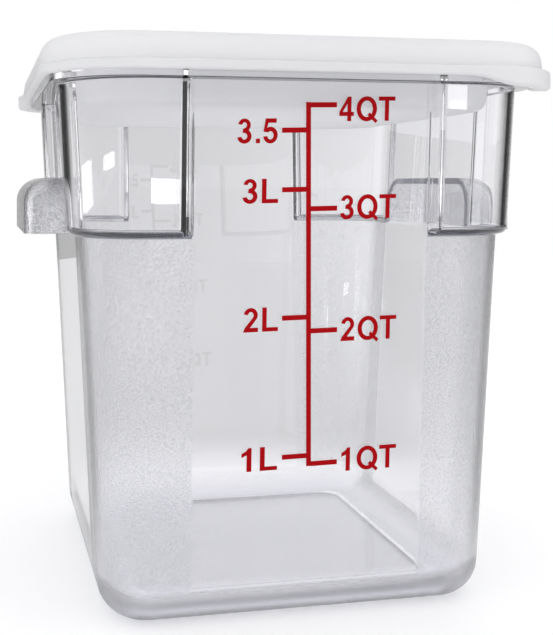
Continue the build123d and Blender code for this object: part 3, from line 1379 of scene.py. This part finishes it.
@dataclass
class Studio:
    """White floor, white surroundings with darker gaps for the clear plastic to show, lamps and camera.

    The two large lamps light the object. The small ones stand low and level with it: the corners' polished
    faces mirror them as white patches.
    """

    lamps: tuple[Lamp, ...] = (
        Lamp("key_softbox", (-0.9, -0.9, 1.1), 0.8, 0.8, 1.5),
        Lamp("fill_softbox", (1.0, -0.5, 0.8), 0.6, 0.6, 1.2),
        Lamp("front_mirrored", (0.012, -0.953, 0.056), 0.225, 0.030, 0.125, (-0.054, -0.083, 0.15)),
        Lamp("front_right_mirrored", (0.51, -0.97, 0.166), 0.075, 0.014, 0.020, (0.06, -0.085, 0.18)),
        Lamp("left_mirrored", (-1.07, 0.13, 0.08), 0.28, 0.062, 0.30, (-0.077, -0.071, 0.15)),
        Lamp("left_front_mirrored", (-0.95, -0.54, 0.093), 0.28, 0.02, 0.09, (-0.07, -0.078, 0.16)),
    )
    floor_size: float = 3.0
    floor_colour: str = "#F2F2F3"
    floor_roughness: float = 0.85
    fibre_size: float = 10 / 9 * MM
    fibre_detail: float = 3.0
    fibre_height: float = 0.02 * MM
    floor_glow: float = 0.17
    seen_through_glow_share: float = 0.9
    # Painted light: how brightly the floor near the object glows when seen through the plastic
    painted_pool_light: float = 1.05
    pool_radii: tuple[float, float] = (90.0 * MM, 210.0 * MM)
    side_half: float = 75.0 * MM
    front_edge: float = 80.0 * MM
    sheet_middle: float = 16.5
    side_light: float = 1.3
    side_stops: tuple[tuple[float, float], ...] = (
        (-180, 1.0),
        (-62, 1.0),
        (-48, 0.02),
        (-28, 0.03),
        (-18, 0.5),
        (-4, 0.51),
        (10, 0.7),
        (20, 0.76),
        (29, 0.05),
        (54, 0.02),
        (68, 1.0),
        (180, 1.0),
    )
    top_light: float = 1.0
    top_band: tuple[float, float] = (0.25, 0.6)
    camera_place: Point = (-112.67 * MM, -412.35 * MM, 153.93 * MM)
    camera_yaw: float = 11.418
    camera_pitch: float = 1.134
    lens: float = 57.80
    sensor: float = 36.0
    shift: tuple[float, float] = (0.146, -0.180)

    def camera(self) -> bpy.types.Object:
        """Places the camera at the photograph's viewing angle.

        Returns:
            The camera.
        """
        data = bpy.data.cameras.new("camera")
        data.lens, data.sensor_width = self.lens, self.sensor
        data.shift_x, data.shift_y = self.shift
        camera = placed("camera", data)
        camera.location = self.camera_place
        camera.rotation_euler = (math.radians(90 - self.camera_pitch), 0, -math.radians(self.camera_yaw))
        bpy.context.scene.camera = camera
        return camera

    def floor(self) -> bpy.types.Object:
        """Lays the pale floor, which keeps the object's shadow.

        Seen through the plastic, the floor glows with painted light instead of being lit: evenly near the
        object, and farther away as bright as the surroundings in its direction from the object's front edge.

        Returns:
            The floor.
        """
        half = self.floor_size / 2
        mesh = bpy.data.meshes.new("floor")
        corners = [(-half, -half, 0), (half, -half, 0), (half, half, 0), (-half, half, 0)]
        mesh.from_pydata(corners, [], [(0, 1, 2, 3)])
        material, tree = new_tree("paper_white_matt")
        place = add_node(tree, "TexCoord").outputs["Object"]
        noise = {"Vector": place, "Scale": 1 / self.fibre_size, "Detail": self.fibre_detail}
        fibre = add_node(tree, "TexNoise", noise)
        bump = add_node(tree, "Bump", {"Height": fibre, "Distance": self.fibre_height})
        matt = {"Base Color": linear(self.floor_colour), "Roughness": self.floor_roughness, "Normal": bump}
        shader = add_node(tree, "BsdfPrincipled", matt)
        ray = add_node(tree, "LightPath").outputs
        seen, share = (
            add_node(tree, "Math", {0: ray[name], 1: amount}, operation="MULTIPLY")
            for name, amount in (("Is Camera Ray", self.floor_glow), ("Is Transmission Ray", self.seen_through_glow_share))
        )
        glow = add_node(tree, "Emission", {"Color": linear(WHITE), "Strength": seen})
        lit = add_node(tree, "AddShader", {0: shader, 1: glow})
        # Painted light: for rays through the plastic the floor glows, evenly near the object, and farther
        # away with the surroundings' brightness and dark gaps
        part = add_node(tree, "SeparateXYZ", {0: place}).outputs
        away = add_node(tree, "VectorMath", {0: place}, operation="LENGTH").outputs["Value"]
        pool = {"Value": away, "From Min": self.pool_radii[0], "From Max": self.pool_radii[1]}
        far = add_node(tree, "MapRange", pool, interpolation_type="SMOOTHSTEP")
        within = add_node(tree, "Clamp", {"Value": part[0], "Min": -self.side_half, "Max": self.side_half})
        beside = add_node(tree, "Math", {0: part[0], 1: within}, operation="SUBTRACT")
        behind = add_node(tree, "Math", {0: part[1], 1: self.front_edge}, operation="ADD")
        around = self.brightness(tree, beside.outputs[0], behind.outputs[0])
        shown = add_node(tree, "Mix", {0: far, 2: self.painted_pool_light, 3: around}, data_type="FLOAT")
        even = add_node(tree, "Emission", {"Color": linear(WHITE), "Strength": shown})
        surface = add_node(tree, "MixShader", {0: share, 1: lit, 2: even})
        add_node(tree, "OutputMaterial", {"Surface": surface})
        mesh.materials.append(material)
        floor = placed("floor", mesh)
        return floor

    def lamp(self, lamp: Lamp) -> bpy.types.Object:
        """Hangs a soft rectangular lamp. The camera doesn't see it, but polished plastic mirrors it.

        Args:
            lamp: the lamp's name, place, aim, size and brightness.

        Returns:
            The lamp.
        """
        data = bpy.data.lights.new(lamp.name, "AREA")
        data.shape, data.size, data.size_y, data.energy = "RECTANGLE", lamp.width, lamp.height, lamp.power
        hung = placed(lamp.name, data)
        hung.location = lamp.place
        hung.rotation_euler = (Vector(lamp.aim) - Vector(lamp.place)).to_track_quat("-Z", "Y").to_euler()
        hung.visible_camera = False
        return hung

    def brightness(self, tree: Tree, x: Socket, y: Socket) -> Socket:
        """How bright the surroundings are in a level direction.

        A white sheet hangs behind the object and just fills its width. Black cards stand on both sides of
        the sheet, which gives clear edges their dark lines, and soft light comes from the rest. The ramp is
        read at the angle from the sheet's middle, from half a turn to its left to half a turn to its right.

        Args:
            tree: the node tree.
            x: the direction's part along X.
            y: the direction's part along Y.

        Returns:
            A socket with the brightness, where 1 is white.
        """
        angle = add_node(tree, "Math", {0: x, 1: y}, operation="ARCTAN2")
        turned = add_node(tree, "Math", {0: angle, 1: math.radians(self.sheet_middle)}, operation="SUBTRACT")
        place = add_node(tree, "MapRange", {"Value": turned, "From Min": -math.pi, "From Max": math.pi})
        ramp = add_node(tree, "ValToRGB", {0: place})
        stops = ramp.color_ramp.elements
        while len(stops) < len(self.side_stops):
            stops.new(0.5)
        for stop, (degrees, light) in zip(stops, self.side_stops):
            stop.position, stop.color = 0.5 + degrees / 360, (light, light, light, 1.0)
        return add_node(tree, "Math", {0: ramp, 1: self.side_light}, operation="MULTIPLY").outputs[0]

    def surroundings(self) -> None:
        """White all round for the camera, and soft side lights with narrow dark gaps for everything else."""
        world = bpy.data.worlds.new("studio")
        world.use_nodes = True
        tree = world.node_tree
        tree.nodes.clear()
        way = add_node(tree, "SeparateXYZ", {0: add_node(tree, "TexCoord").outputs["Generated"]}).outputs
        sides = self.brightness(tree, way[0], way[1])
        band = {"Value": way[2], "From Min": self.top_band[0], "From Max": self.top_band[1]}
        overhead = add_node(tree, "MapRange", band, interpolation_type="SMOOTHSTEP")
        shown = add_node(tree, "Mix", {0: overhead, 2: sides, 3: self.top_light}, data_type="FLOAT")
        camera = add_node(tree, "LightPath").outputs["Is Camera Ray"]
        seen = add_node(tree, "Mix", {0: camera, 2: shown, 3: 1.0}, data_type="FLOAT")
        background = add_node(tree, "Background", {"Color": linear(WHITE), "Strength": seen})
        add_node(tree, "OutputWorld", {"Surface": background})
        bpy.context.scene.world = world

    def build(self) -> None:
        """Sets up the floor, the lamps, the surroundings, the camera and how light is traced."""
        self.camera()
        self.floor()
        self.surroundings()
        for lamp in self.lamps:
            self.lamp(lamp)
        scene = bpy.context.scene
        scene.view_settings.view_transform = "Standard"
        scene.cycles.max_bounces = 32
        scene.cycles.transmission_bounces = 32
        scene.cycles.transparent_max_bounces = 32
        scene.cycles.glossy_bounces = 12
        scene.cycles.diffuse_bounces = 6
        scene.cycles.blur_glossy = 0.4


def main() -> None:
    """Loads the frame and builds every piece."""
    logging.basicConfig(level=logging.INFO, format="%(name)s %(message)s")
    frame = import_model()
    log.info("loaded %s", type(frame).__name__)
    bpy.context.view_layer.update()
    Studio().build()
    tub = Tub()
    for piece in (tub.build(), Lid().build(), *Graduations(tub).build()):
        log.info("%s: %d faces", piece.name, len(piece.data.polygons))
    bpy.context.view_layer.update()


if __name__ == "__main__":
    main()
